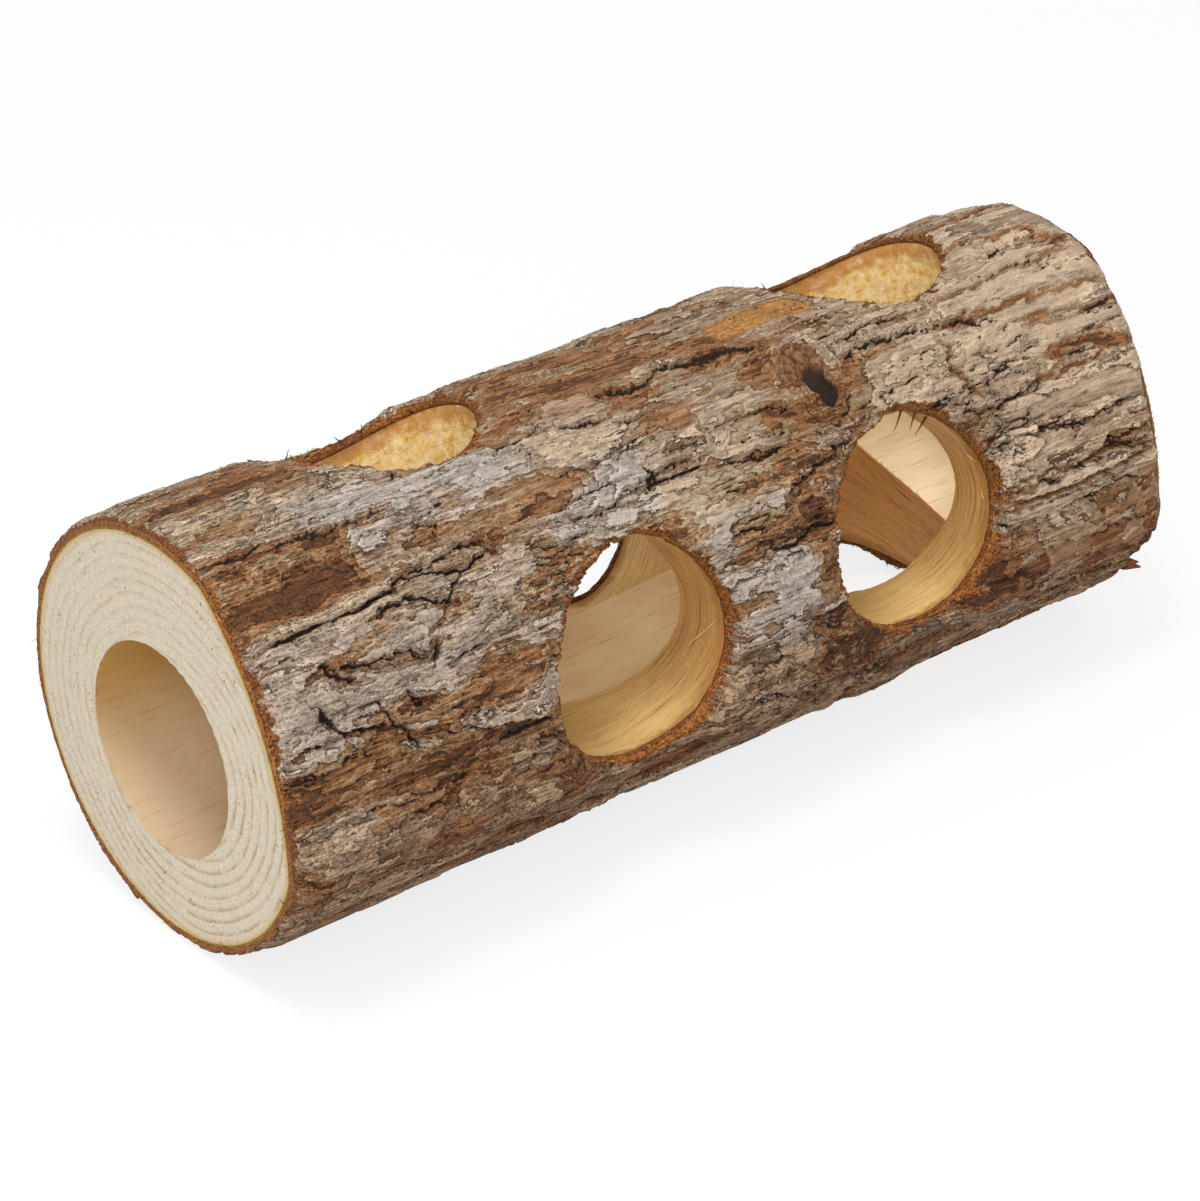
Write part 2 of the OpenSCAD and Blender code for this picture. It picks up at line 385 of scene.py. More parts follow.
# Places on the knot, along its long axis and across it
KNOT_COS, KNOT_SIN = 0.292, 0.956
knot_x = GRID_X - KNOT_X - 1.3
knot_u = knot_x * KNOT_COS - (knot_s + 1.0) * KNOT_SIN
knot_v = knot_x * KNOT_SIN + (knot_s + 1.0) * KNOT_COS
knot_ring = 7 * np.hypot(knot_u / 9, knot_v / 5.6) + 1.3 * grown(5, 5, 71) + 0.4 * grown(1.4, 1.4, 72)
near_hollow = np.hypot(knot_u - 3.2, knot_v / 0.72) + 0.9 * grown(2.5, 2.5, 73)

# Patches of the bark: strength, then from where to where along the log and round it
rust = patches(
    (1.0, -100, -74, 52, 74), (0.9, -100, -50, -2, 4), (1.0, 11, 27, -28, -4),
    (0.5, 68, 100, 12, 20), (0.6, -24, 2, 84, 92), (0.5, -95, -70, 88, 112), (0.9, -42, -12, 35, 41),
    (0.9, 12, 19, 8, 36), (0.8, -47, -38, -26, -8), (0.6, -60, 0, -38, -30), (0.8, 92, 100, -46, -8),
)
grey = patches(
    (1.0, -76, -42, 64, 73), (1.0, -36, -18, 40, 60), (1.0, -32, 12, 42, 74), (1.0, 38, 100, 44, 74),
    (0.7, -20, 34, 96, 140), (0.8, -100, -60, 24, 50), (1.0, -8, 14, -2, 28),
)
thin = patches((0.9, 46, 100, 106, 150), (2.2, 46, 78, 116, 150), (0.5, -30, 100, -80, -30))
lichen = patches((1.0, -70, 20, 30, 45), (0.9, 60, 95, -6, 12), (0.5, -30, 30, -20, -4))
pale = patches((1.0, 62, 110, -16, 72), (0.9, 40, 110, 66, 130), (0.9, 38, 70, 38, 66))
cool = patches(
    (1.0, -78, -36, 58, 80), (1.0, -36, -14, 36, 62), (0.9, -8, 16, -6, 34), (0.5, -100, -40, 8, 46)
)
combed = patches((0.9, 58, 110, 2, 118), (0.7, -110, 110, -75, -22))
slabbed = region(40, 76, 40, 58)
bare = region(16, 38, 82, 91, 1.5)
# Painted shade over the lower front of the log
dim = region(-100, 100, -70, -6, 8)

# The bark is cut off sharply at the holes and the near end, chipped in places, and rounded at the far end.
# It overhangs the holes on one side and is chipped back where daylight shows through them.
OVERHANG_WAY = np.array([0.72, 0.2, -0.67])
ragged = grown(2.6, 1.4, 33, 3, 0.6)
chips = smooth(0.1, 0.6, grown(8, 6, 34, 2))
sharp = region(80, 110, 96, 136)
scallop = np.maximum(0.9 + 1.7 * fbm(GRID_X * 0, GRID_A, 30, 7, 37, 2), 0)
overhang = np.where(GRID_X < 0, 2.6, 1.9) * smooth(0.3, 0.95, INTO_HOLE @ OVERHANG_WAY) - 0.3 - 0.4 * ragged
overhang -= patches((2.5, 12, 34, 194, 226, 1.5), (2.5, 38, 76, 218, 244, 1.5))
hole_edge = FROM_HOLE + overhang
far_edge = FROM_END - scallop * (1 - sharp)
at_hole = smooth(-0.5, 0.2 + 1.3 * chips, hole_edge)
at_hole = np.maximum(at_hole, region(20, 42, -80, -54) * (FROM_HOLE > 0.3))
at_far_end = smooth(-0.4, 3.0 - 2.4 * sharp, far_edge)
at_near_end = smooth(-0.4, 0.4 + 0.8 * chips, FROM_END)
torn = np.minimum(at_hole, np.where(GRID_X > 0, at_far_end, at_near_end))
edge = np.minimum(hole_edge, np.where(GRID_X > 0, far_edge - 0.2, 9))
rim_width = 0.6 + 1.2 * np.maximum(SLOW, -0.3) + 0.4 * np.maximum(overhang, 0)
rim = smooth(rim_width, 0.0, np.minimum(hole_edge, FROM_END) - 0.8 * ragged)

# The main cracks, as places along the log and degrees round it.
# Each runs so that the plate on its left lies higher.
CRACKS = (
    ((-48, 49), (-51, 53), (-57, 52), (-66, 52), (-70, 50)),
    ((-60, 41), (-63, 42), (-68, 46), (-75, 44)),
    ((-66, 33), (-70, 30), (-72, 33), (-79, 34), (-88, 37), (-92, 35)),
    ((-83, 31), (-86, 34), (-88, 37)),
    ((-78, 16), (-88, 19), (-91, 18), (-97, 18)),
    ((-87, 18), (-90, 24), (-90, 27)),
    ((-64, 69), (-76, 69), (-85, 70)),
    ((-70, 19), (-73, 19), (-73, 23)),
    ((-47, 1), (-63, 7), (-72, 11)),
    ((56, 44), (53, 42), (45, 43), (40, 46), (40, 50), (47, 52), (56, 48), (56, 44)),
    ((73, 41), (69, 36), (57, 35), (53, 40), (57, 42), (62, 42), (68, 46), (73, 45), (73, 41)),
    ((51, 69), (45, 70), (34, 68)),
    ((69, 59), (62, 62), (45, 64), (36, 64)),
    ((34, 46), (28, 43), (20, 39), (11, 35)),
    ((10, 25), (6, 23), (3, 25)),
    ((2, -12), (-10, -14)),
    ((6, -34), (-21, -26), (-34, -28)),
    ((-12, 97), (-18, 98), (-24, 99)),
    ((-17, 71), (-21, 72), (-25, 74)),
    ((21, 77), (10, 80), (2, 80), (-7, 77), (-13, 80)),
    ((-1, 63), (0, 56), (-9, 57)),
    ((-5, 54), (-19, 51), (-27, 48), (-35, 51)),
    ((91, 23), (81, 21), (70, 24)),
    ((97, 14), (84, 14)),
)


def from_cracks():
    """Distance of the skin's places from the main cracks, and whether they lie on the high side."""
    x = GRID_X + 0.7 * grown(2.2, 1.6, 91) + 0.3 * grown(0.8, 0.8, 92, 1)
    s = knot_s + 0.7 * grown(2.0, 1.6, 93) + 0.3 * grown(0.8, 0.8, 94, 1)
    nearest, high = np.full(GRID_X.shape, 9.0), np.zeros(GRID_X.shape, bool)
    for points in CRACKS:
        points = [(at, (math.radians(degrees) - KNOT_ANGLE) * ROUND_R) for at, degrees in points]
        for (x1, s1), (x2, s2) in zip(points, points[1:]):
            along = ((x - x1) * (x2 - x1) + (s - s1) * (s2 - s1)) / ((x2 - x1) ** 2 + (s2 - s1) ** 2)
            along = np.clip(along, 0, 1)
            far = np.hypot(x - x1 - along * (x2 - x1), s - s1 - along * (s2 - s1))
            high = np.where(far < nearest, (x - x1) * (s2 - s1) > (s - s1) * (x2 - x1), high)
            nearest = np.minimum(nearest, far)
    return nearest, high


FROM_CLEFT, ON_PLATE = from_cracks()

# Thin layers peel off the bark and leave steps with ragged edges
STEPS = 5
peel = 0.66 + 0.10 * jagged(40, 12, 41) + 0.36 * jagged(18, 5.0, 42)
peel += (0.17 - 0.10 * cool) * jagged(6, 1.5, 43)
lane = jagged(38, 5.0, 38, 1)
lanes = 0.84 + 0.12 * jagged(14, 3.0, 39) - 0.7 * line(lane, 1.3)
slabs = 0.80 + 0.14 * jagged(7, 3, 49) - 0.8 * line(jagged(16, 9, 40, 1), 1.0)
peel += (lanes - peel) * combed
peel += (slabs - peel) * slabbed
peel += 0.10 * grey - 0.32 * rust - 0.25 * bare
peel -= 0.25 * np.where(ON_PLATE, smooth(0.7, 0.1, FROM_CLEFT), smooth(2.5, 0.2, FROM_CLEFT))
whole = np.floor(peel * STEPS)
part = peel * STEPS - whole
curl = smooth(-0.3, 0.5, grown(9, 4, 48))
relief = (whole - 1 + smooth(0, 0.14, part) + 0.35 * curl * smooth(0.6, 0.2, part)) / STEPS
relief = np.clip(relief, -0.1, 1.1)

# Cracks between the scales, along the grain and across it. The paint darkens them nearly to black, partly
# the bark's own dark and partly painted shade
furrow = smooth(0.55, 0.05, FROM_CRACK - 0.2 * fibre) * smooth(-0.1, 0.6, grown(11, 6, 35))
split = line(jagged(24, 2.2, 44), 0.3) * smooth(0.0, 0.4, grown(12, 4, 45))
split *= 1 - 0.7 * region(-100, -45, 14, 58)
cross = line(jagged(3.5, 5, 46), 0.22) * smooth(0.2, 0.5, grown(10, 6, 47)) * smooth(0.3, 0.6, relief)
gaps = line(jagged(11, 3.2, 50), 0.5) * patches((1.0, -8, 36, -42, -4), (0.8, 56, 80, 4, 44))
gaps *= smooth(-0.3, 0.2, SLOW)
lane_gaps = combed * line(lane + 0.06, 0.35) * smooth(-0.2, 0.3, SLOW)
cleft = smooth(0.40, 0.10, FROM_CLEFT - 0.2 * SLOW)
crack_and_shade = np.maximum.reduce([furrow, split, gaps, 0.9 * lane_gaps, cleft, 0.7 * cross]) * torn

# Height of the bark above the wood
plate = np.where(cad_height > 0, cad_height, FOOT + 0.45 * thickness[owner])
plate = blur(blur(plate, 1.6, 1.6), 1.2, 1.2)
height = plate + bulk * 0.6 * (relief - 0.45) + 0.15 * grown(30, 14, 36) - thin
height += 0.9 * region(24, 42, -80, -46)
height += np.where(ON_PLATE, 0.6, -0.2) * smooth(3.5, 0.6, FROM_CLEFT) * smooth(0.1, 0.5, FROM_CLEFT)
height = height * torn + (BAST + 0.15) * (1 - torn) + 0.10 * fibre
height -= crack_and_shade * np.minimum(1.1, 0.8 * np.maximum(height - BAST, 0))

# The knot: a swollen, folded ring of bark round a hollow
ridges = np.sin(knot_ring * 3.6 + 2.5 * grown(7, 7, 74))
folded = smooth(-0.5, 0.4, grown(6, 6, 75)) * smooth(10.5, 8, knot_ring) * smooth(2.5, 4.5, knot_ring)
swell = np.exp(-(((knot_ring - 5.0) / 3.0) ** 2))
on_knot = smooth(10.5, 7, knot_ring)
hollow = smooth(4.6, 3.2, near_hollow)
height = height * (1 - 0.7 * on_knot) + 0.7 * on_knot * (1.8 + 0.3 * fibre)
height += 1.3 * swell + 0.4 * ridges * folded
height = height * (1 - hollow) + (BAST + 0.35 + 0.2 * ragged) * hollow
# The hollow and the folds join the crack mask, which the paints darken as painted shade
folds = 0.7 * smooth(-0.4, -0.95, ridges) * folded
crack_and_shade = np.maximum.reduce([crack_and_shade * (1 - 0.6 * on_knot), 0.97 * hollow, folds])
height = np.maximum(height, BAST - 0.2)

# Masks that the paints read
far_calm = 0.75 * pale * (1 - 0.2 * region(54, 90, -10, 22))
MASKS = {
    "peel": np.clip(peel * STEPS, -0.5, STEPS + 0.5),
    "shift": 0.15 * grey + 0.12 * pale - 0.08 * rust - 0.2 * region(-32, 0, 60, 86),
    "curl": curl * (1 - on_knot),
    "crack_and_shade": crack_and_shade,
    "lichen": lichen,
    "bare": bare,
    "dim": dim,
    "rim": rim,
    "calm": np.maximum(far_calm, patches((0.5, -42, 62, 46, 112, 8), (0.6, -16, 12, 30, 56))),
    "cool": cool,
    "shady": np.where(GRID_X < 0, smooth(9, 3, FROM_END), 0) * smooth(60, 100, np.degrees(GRID_A)),
}
FRAY = INTO_HOLE * (0.5 * smooth(2.0, 0.6, FROM_HOLE))[..., None]


def skin_piece(name, cells, top_points, bottom_points, masks):
    """A closed mesh of the chosen grid cells, from the bottom points up to the top ones."""
    rows, columns = cells.shape
    r, c = np.nonzero(cells)
    here = r * columns + c
    above = (r + 1) % rows * columns + c
    quads = np.stack([here, here + 1, above + 1, above], 1)
    ways = ((1, 0), (0, -1), (-1, 0), (0, 1))
    outside = [~shifted(cells, *way, False)[r, c] for way in ways]
    sides = np.concatenate([
        np.stack([quads[o, (k + 1) % 4], quads[o, k]], 1) for k, o in enumerate(outside)
    ])
    used = np.unique(quads)
    count = len(used)
    index = np.zeros(rows * columns, np.int64)
    index[used] = np.arange(count)
    quads, sides = index[quads], index[sides]
    top, bottom = top_points.reshape(-1, 3)[used], bottom_points.reshape(-1, 3)[used]
    border = np.unique(sides)
    rungs, verts = [border], [top, bottom]
    # Walls of the outer bark are frayed at the holes
    if "rim" in masks:
        way = FRAY.reshape(-1, 3)[used][border]
        for number, share in enumerate((0.2, 0.4, 0.6, 0.8)):
            reach = chance(used[border] * 8 + number, 81) - 0.35
            rungs.append(2 * count + number * len(border) + np.arange(len(border)))
            verts.append(top[border] * (1 - share) + bottom[border] * share + way * reach[:, None])
    rungs.append(border + count)
    a, b = (np.searchsorted(border, sides[:, k]) for k in (0, 1))
    walls = [np.stack([high[a], high[b], low[b], low[a]], 1) for high, low in zip(rungs, rungs[1:])]
    mesh = make_mesh(name, np.concatenate(verts), np.concatenate([quads, quads[:, ::-1] + count] + walls))
    for key, values in masks.items():
        mine = values.ravel()[used]
        under = np.concatenate([mine] + [mine[border]] * (len(rungs) - 2))
        # The walls of the outer bark get a rim value of 2, which the bark's paint makes brighter as painted
        # light
        add_mask(mesh, key, np.concatenate([mine, np.full_like(under, 2) if key == "rim" else under]))
    return mesh


# Materials


def add_node(tree, kind, values, output=0, **settings):
    """A node with its settings and its inputs, each a value or a link, of which one output is used."""
    made = tree.nodes.new(kind)
    for key, value in settings.items():
        setattr(made, key, value)
    for key, value in values.items():
        if isinstance(value, bpy.types.NodeSocket):
            tree.links.new(value, made.inputs[key])
        else:
            made.inputs[key].default_value = value
    return made.outputs[output]


class Value:
    """A number, place or colour that a paint works out. Arithmetic with it adds nodes to the paint."""

    def __init__(self, paint, socket):
        self.node = paint.node
        self.socket = socket

    def math(self, operation, other=0.0, clamp=False):
        return self.node("ShaderNodeMath", {0: self, 1: other}, operation=operation, use_clamp=clamp)

    def __add__(self, other):
        return self.math("ADD", other)

    def __sub__(self, other):
        return self.math("SUBTRACT", other)

    def __mul__(self, other):
        return self.math("MULTIPLY", other)

    def __truediv__(self, other):
        return self.math("DIVIDE", other)

    def most(self, other):
        return self.math("MAXIMUM", other)

    def vector(self, operation, other=(0, 0, 0)):
        second = "Scale" if operation == "SCALE" else 1
        output = "Value" if operation in ("LENGTH", "DOT_PRODUCT") else "Vector"
        return self.node("ShaderNodeVectorMath", {0: self, second: other}, output, operation=operation)

    def span(self, low, high, share=1.0):
        """0 below low and a share above high, with a soft change between."""
        values = {"Value": self, "From Min": low, "From Max": high, "To Max": share}
        return self.node("ShaderNodeMapRange", values, interpolation_type="SMOOTHSTEP")

    def ramp(self, *stops):
        """Colours that change from stop to stop."""
        made = self.node("ShaderNodeValToRGB", {"Fac": self})
        bar = made.socket.node.color_ramp.elements
        while len(bar) < len(stops):
            bar.new(0.5)
        for element, (at, color) in zip(bar, stops):
            element.position = at
            element.color = (*color, 1)
        return made


def total(start, *parts):
    """A value with grains added to it, each by a weight and on either side of its middle."""
    for grain, weight in parts:
        start = (grain - 0.5) * weight + start
    return start


class Paint:
    """A material built up from values, in coordinates of millimetres along the frame's axes."""

    def __init__(self, name, roughness):
        self.material = bpy.data.materials.new(name)
        self.material.use_nodes = True
        self.tree = self.material.node_tree
        self.shader = self.tree.nodes["Principled BSDF"]
        self.shader.inputs["Roughness"].default_value = roughness
        self.shader.inputs["Specular IOR Level"].default_value = 0.25
        self.place = self.node("ShaderNodeTexCoord", {}, "Object").vector("SCALE", 1 / MM)

    def node(self, kind, values, output=0, **settings):
        values = {key: getattr(value, "socket", value) for key, value in values.items()}
        return Value(self, add_node(self.tree, kind, values, output, **settings))

    def mask(self, name):
        return self.node("ShaderNodeAttribute", {}, "Fac", attribute_name=name)

    def grain(self, long, across, detail=3.0, rough=0.55, place=None):
        """Noise from 0 to 1 with features of a length along the log and a width across it."""
        at = (place or self.place).vector("DIVIDE", (long, across, across))
        values = {"Vector": at, "Scale": 1.0, "Detail": detail, "Roughness": rough}
        return self.node("ShaderNodeTexNoise", values)

    def specks(self, size, radius):
        """1 in small round specks that lie about a size apart."""
        at = self.place.vector("DIVIDE", (size, size, size))
        far = self.node("ShaderNodeTexVoronoi", {"Vector": at, "Scale": 1.0}, "Distance")
        return far.span(radius, radius * 0.5)

    def mix(self, share, a, b, blend="MIX"):
        """Colour a with a share of colour b."""
        a, b = ((*color, 1) if isinstance(color, tuple) else color for color in (a, b))
        return self.node("ShaderNodeMix", {0: share, 6: a, 7: b}, 2, data_type="RGBA", blend_type=blend)

    def finish(self, color, bump, depth):
        """The material with its colour, and bumps of a depth."""
        values = {"Height": bump, "Distance": depth * MM, "Strength": 1.0}
        normal = self.node("ShaderNodeBump", values, "Normal")
        self.tree.links.new(color.socket, self.shader.inputs["Base Color"])
        self.tree.links.new(normal.socket, self.shader.inputs["Normal"])
        return self.material


GREY = (0.455, 0.335, 0.228)
LILAC = (0.41, 0.345, 0.295)
GREY_BROWN = (0.32, 0.23, 0.155)
TAN = (0.30, 0.172, 0.085)
RUST = (0.26, 0.110, 0.040)
DARK_RUST = (0.12, 0.048, 0.018)
# Near-black of cracks, pits and the feet of the layers: partly the bark's own dark, partly painted shade
CRACK_AND_SHADE = (0.026, 0.015, 0.009)
LICHEN = (0.51, 0.45, 0.27)
BARE = (0.60, 0.30, 0.085)
# Painted shade for the lower front of the log
SHADE_LOW_FRONT = (0.66, 0.56, 0.48)
FUZZ_EDGE = (0.46, 0.26, 0.06)
FUZZ = (
    (0.25, (0.05, 0.016, 0.006)), (0.45, (0.17, 0.054, 0.013)), (0.6, (0.31, 0.112, 0.024)),
    (0.8, (0.47, 0.20, 0.048)),
)


def bark_paint():
    paint = Paint("outer_bark", 0.85)
    mix, mask = paint.mix, paint.mask
    long = paint.grain(9, 0.9, 4, 0.65)
    fine = paint.grain(2.6, 0.40, 3, 0.6)
    dust = paint.grain(0.55, 0.42, 2, 0.7)

    # Layers of peeling bark, from rust below to grey on top
    peel = total(mask("peel"), (fine, 0.6), (dust, 0.5))
    part = peel.math("FRACT")
    level = (peel.math("FLOOR") + part.span(0.0, 0.12)) / STEPS - 1 / STEPS
    age = total(level + mask("shift"), (long, 1.0), (fine, 0.45), (paint.grain(22, 7, 2), 1.0))
    color = age.ramp((0.10, DARK_RUST), (0.30, RUST), (0.50, TAN), (0.66, GREY_BROWN), (0.92, GREY))
    plain = mask("cool") * age.span(0.55, 0.8)
    color = mix(plain, color, LILAC)
    color = mix(mask("bare"), color, mix(fine, BARE, RUST))

    # Light and dark grain, softer where the bark is calm, and lit edges of the layers
    calm = mask("calm").most(plain * 0.5)
    rough = total(0.83, (fine, 2.4), (dust, 2.5), (long, 1.4))
    soft = total(calm * 0.64 + 0.65, (fine, 0.8), (dust, 0.7), (long, 1.0))
    lit = part.span(0.08, 0.14) * part.span(0.36, 0.20, 0.30)
    color = mix(1.0, color, rough + calm * (soft - rough) + lit, "MULTIPLY")
    # Painted shade darkens the lower front of the log
    color = mix(mask("dim") * 0.9, color, SHADE_LOW_FRONT, "MULTIPLY")
    crust = paint.grain(1.5, 1.0, 3, 0.6).span(0.54, 0.64, 0.6)
    color = mix(mask("lichen") * crust, color, LICHEN)

    # Pits, cracks and the shaded feet of the layers, painted near-black: partly the bark's own dark, partly
    # painted shade
    pits = paint.grain(1.9, 0.5, 2, 0.7).span(0.39, 0.31, 0.62)
    dots = paint.grain(0.6, 0.4, 2, 0.6).span(0.37, 0.30, 0.38)
    dark = pits.most(dots)
    dark = dark - dark * calm
    crack_and_shade = total(mask("crack_and_shade"), (fine, 1.0), (dust, 0.8)).span(0.42, 0.70)
    foot = part.span(0.84, 0.97).most(part.span(0.09, 0.02)) * (mask("curl") * 0.6 + 0.28)
    color = mix(dark.most(crack_and_shade).most(foot), color, CRACK_AND_SHADE)

    # Torn rims, made brighter on their walls as painted light
    rim = mask("rim")
    torn = total(rim.span(1.0, 1.5, 0.18) + 0.42, (fine, 0.9), (dust, 1.2)).ramp(*FUZZ)
    torn = mix(mask("shady") * 0.4, torn, DARK_RUST)
    color = mix(total(rim, (fine, 1.6)).span(0.3, 0.7), color, torn)
    return paint.finish(color, total(0.0, (fine, 0.5), (dust, 0.9), (long, 0.8)), 0.35)


def bast_paint():
    paint = Paint("inner_bark", 0.8)
    long = paint.grain(6, 0.5, 4, 0.65)
    fine = paint.grain(1.4, 0.22, 3, 0.6)
    color = total(0.48, (long, 0.9), (fine, 0.9)).ramp(*FUZZ)
    color = paint.mix(paint.mask("edge"), color, FUZZ_EDGE)
    return paint.finish(color, long + fine, 0.4)


# Sawn ends
CREAM = (0.56, 0.487, 0.372)
CREAM_LINE = (0.40, 0.295, 0.172)
SPOT = (0.13, 0.09, 0.055)
RIND = (0.47, 0.32, 0.10)
# Walls of the side holes
GOLD = (0.90, 0.55, 0.155)
PALE = (0.95, 0.71, 0.32)
CROSS = (0.36, 0.16, 0.034)
# Painted shade: a darker, deeper orange for the bottom hole's wall
BOTTOM_HOLE_SHADE = (0.80, 0.40, 0.11)
# Painted light: sunlit copies of the wall colours for the top holes
SUN_PALE = (0.90, 0.74, 0.40)
SUN_GOLD = (0.80, 0.51, 0.14)
SUN_BROWN = (0.58, 0.28, 0.055)
SHADE = (0.78, 0.78, 0.78)
CHAFF = (0.98, 0.88, 0.60)
STAIN = (0.36, 0.16, 0.04)
ORANGE = (0.46, 0.17, 0.028)
BROWN_LINE = (0.24, 0.095, 0.026)
# Wall of the tunnel
HONEY = (0.90, 0.69, 0.40)
STRAW = (0.97, 0.82, 0.55)
FLOOR = (0.99, 0.83, 0.60)
FIBRE = (0.36, 0.19, 0.07)
CLOUD = (0.72, 0.46, 0.23)
SHADED_OCHRE = (0.43, 0.224, 0.034)
LIT_PINK = (0.56, 0.415, 0.262)
MOUTH_FROM = -48.0
MOUTH_FULL = -78.0


def wood_paint():
    paint = Paint("sapwood", 0.6)
    mix, mask = paint.mix, paint.mask
    fine = paint.grain(3.0, 0.2, 3, 0.6)
    dust = paint.grain(0.25, 0.25, 2, 0.6)
    blotch = paint.grain(5, 5, 3)

    # Growth rings, each with late wood at its outer side
    from_pith = paint.place.vector("SUBTRACT", PITH).vector("MULTIPLY", (0, 1, 1))
    ring = from_pith.vector("LENGTH") + paint.grain(200, 34, 1) * 7.0 + paint.grain(40, 6, 2) * 0.9
    phase = (ring / RING).math("FRACT")
    late = phase.span(0.5, 0.95) * phase.span(1.0, 0.96)

    # Sawn ends, with the rings clearest low at the front
    below = from_pith.vector("DOT_PRODUCT", (0, -0.6, -0.8))
    lines = late * blotch.span(0.25, 0.75) * (below.span(-25.0, 20.0, 0.7) + 0.65)
    end = mix(lines, CREAM, CREAM_LINE)
    end = mix(1.0, end, total(1.0, (dust, 0.8), (paint.grain(0.8, 0.8, 3), 0.5)), "MULTIPLY")
    end = mix(paint.specks(1.3, 0.22) * blotch.span(0.46, 0.6, 0.8), end, SPOT)
    end = mix(mask("rind"), end, RIND)

    # Walls of the side holes: grain drawn out along the rings, stained at the bark
    across = paint.node("ShaderNodeCombineXYZ", {"Z": ring / 0.30})
    drawn = paint.place.vector("DIVIDE", (6, 6, 6)).vector("ADD", across)
    dashes = paint.grain(1, 1, 3, 0.6, drawn)
    wall = mix(total(0.5, (fine, 2.0)), GOLD, PALE)
    wall = mix(mask("cross") * 0.8, wall, CROSS)
    # The bottom hole's wall takes a darker, deeper orange, as painted shade
    wall = mix(mask("deep") * 0.7, wall, BOTTOM_HOLE_SHADE)
    # Walls of the top holes take a lighter sunlit copy of the wall colours and a brighter orange stain, as
    # painted light
    coarse = paint.grain(2.4, 1.6, 4, 0.7)
    sunny = mix(coarse.span(0.40, 0.60), SUN_PALE, SUN_GOLD)
    sunny = mix(coarse.span(0.57, 0.68), sunny, SUN_BROWN)
    wall = mix(mask("sunny") * 0.85, wall, sunny)
    wall = mix(mask("low"), wall, SHADE, "MULTIPLY")
    wall = mix(dust.span(0.55, 0.65, 0.2), wall, CHAFF)
    stain = total(mask("lip"), (paint.grain(4, 2, 3), 1.6), (fine, 1.2)).span(0.35, 1.0, 0.75)
    wall = mix(stain, wall, mix(mask("sunny"), STAIN, ORANGE))
    plain = (mask("deep") * 0.3).most(mask("sunny")) * 0.75
    streaks = (mask("cross") * 0.5 + 0.4).math("SUBTRACT", plain, True)
    wall = mix(dashes.span(0.51, 0.68) * streaks, wall, BROWN_LINE)
    wall = mix(late * 0.12, wall, BROWN_LINE)

    # Wall of the tunnel, paler on its floor as painted light, and in its mouth ochre above as painted shade
    # and pink below as painted light
    inside = mix(fine, HONEY, STRAW)
    inside = mix(mask("floor") * 0.6, inside, FLOOR)
    fibres = paint.grain(14, 0.5, 3, 0.6).span(0.58, 0.70)
    inside = mix(fibres * 0.4, inside, FIBRE)
    inside = mix(paint.grain(18, 6, 2).span(0.42, 0.68, 0.25), inside, CLOUD)
    along = paint.node("ShaderNodeSeparateXYZ", {0: paint.place})
    near = mix(fibres * 0.45, mix(mask("floor"), SHADED_OCHRE, LIT_PINK), STAIN)
    inside = mix(along.span(MOUTH_FROM, MOUTH_FULL, 0.9), inside, near)

    color = mix(mask("hole"), mix(mask("bore"), end, inside), wall)
    return paint.finish(color, (fine + dust) * 0.6 + mask("hole") * dashes, 0.12)


KNOT = (
    (0.34, (0.04, 0.017, 0.008)), (0.46, (0.15, 0.062, 0.024)), (0.58, (0.27, 0.13, 0.055)),
    (0.70, (0.36, 0.26, 0.18)),
)


def knot_paint():
    paint = Paint("dead_knot", 0.8)
    mottle = paint.grain(1.2, 1.2, 5, 0.72)
    # The knot's hollow and folds take the crack colour as painted shade
    color = paint.mix(paint.mask("crack_and_shade"), mottle.ramp(*KNOT), CRACK_AND_SHADE)
    return paint.finish(color, mottle, 0.4)


# Wood

RING = 2.25
PITH = (0, -3.4, AXIS_Z - 0.8)
PAST_END = 10.0
HOLE_CUT = 46.0


def bands(index):
    """Faces between each ring of points and the next, from the numbers of the points."""
    after = np.roll(index, -1, -1)
    corners = [index[..., :-1, :], after[..., :-1, :], after[..., 1:, :], index[..., 1:, :]]
    return np.stack(corners, -1).reshape(-1, 4)


def closed_rings(rings, ends, flip=False):
    """Points and faces of a closed mesh: rings of points, with a point in the middle of each end."""
    along, around = rings.shape[:2]
    index = np.arange(along * around).reshape(along, around)
    quads = bands(index)
    low, high = (np.full(around, index.size + end) for end in (0, 1))
    first, last = index[0], index[-1]
    tris = np.stack([low, np.roll(first, -1), first], 1), np.stack([high, last, np.roll(last, -1)], 1)
    tris = np.concatenate(tris)
    if flip:
        quads, tris = quads[:, [0, 3, 2, 1]], tris[:, [0, 2, 1]]
    return np.concatenate([rings.reshape(-1, 3), ends]), quads, tris


def tube(start, way, radius, length, around, along):
    """A closed tube round a line."""
    way = way / np.linalg.norm(way)
    side = np.cross(way, [0, 0, 1] if abs(way[2]) < 0.8 else [0, 1, 0])
    side /= np.linalg.norm(side)
    turn = np.arange(around) * 2 * math.pi / around
    ring = np.cos(turn)[:, None] * side + np.sin(turn)[:, None] * np.cross(way, side)
    middle = start + np.linspace(0, length, along)[:, None] * way
    return closed_rings(middle[:, None] + radius * ring, middle[[0, -1]])


def log_blank():
    """The log before it is bored, with rings of points on its ends too."""
    around, along = 240, 41
    turn = np.arange(around) * 2 * math.pi / around
    shares = np.linspace(1.0, 0.3, 34)[1:]
    rings = [(-HALF, share) for share in shares[::-1]]
    rings += [(x, 1.0) for x in np.linspace(-HALF, HALF, along)]
    rings += [(HALF, share) for share in shares]
    edge = body_r(turn)[:, None] * outward(turn)
    rings = np.array([share * edge + (x, 0, AXIS_Z) for x, share in rings])
    return closed_rings(rings, np.array([[-HALF, 0, AXIS_Z], [HALF, 0, AXIS_Z]]), True)


